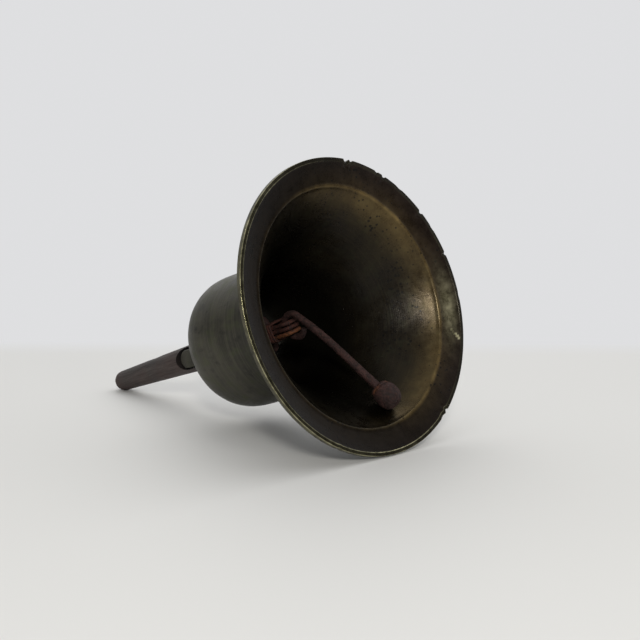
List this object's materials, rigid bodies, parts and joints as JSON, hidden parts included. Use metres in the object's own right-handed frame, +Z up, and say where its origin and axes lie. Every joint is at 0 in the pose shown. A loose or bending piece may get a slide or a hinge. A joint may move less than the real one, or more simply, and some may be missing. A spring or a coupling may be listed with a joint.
{
  "type": "hand bell",
  "caption": "Cast bronze hand bell lying on its side: flared mouth, forked wooden handle riveted to the tang, loose iron clapper on a wound wire link.",
  "frame": {"origin": "bottom centre of the whole bell as it lies on a flat surface, on its lip and the end of its handle", "axes": "+Z up; +X the bell's length towards its mouth; the bell's axis lies in the XZ plane, rising to the mouth"},
  "size_m": [0.2698, 0.1798, 0.1712],
  "materials": {
    "bronze": "dark patinated cast bronze",
    "wood": "weathered unvarnished wood",
    "iron": "rusty forged iron",
    "wire": "red-brown rust"
  },
  "bodies": {
    "bell": {"bell_casting": "bronze", "handle": "wood", "handle_rivet": "iron", "rivet_rove": "iron", "clapper_staple": "iron"},
    "link": {"link_wire": "wire", "lashing_wire": "wire"},
    "clapper": {"clapper_shank": "iron", "clapper_bob": "iron"}
  },
  "joints": [
    {"name": "clapper_sway", "type": "hinge", "parent": "bell", "child": "link", "pos_m": [0.02768, 0, 0.0596], "axis": [0.9476, 0, 0.3195], "range_deg": [-14, 14]},
    {"name": "clapper_swing", "type": "hinge", "parent": "link", "child": "clapper", "pos_m": [0.05014, 0, 0.06718], "axis": [0.08, -0.9681, -0.2373], "range_deg": [0, 97.5]}
  ]
}
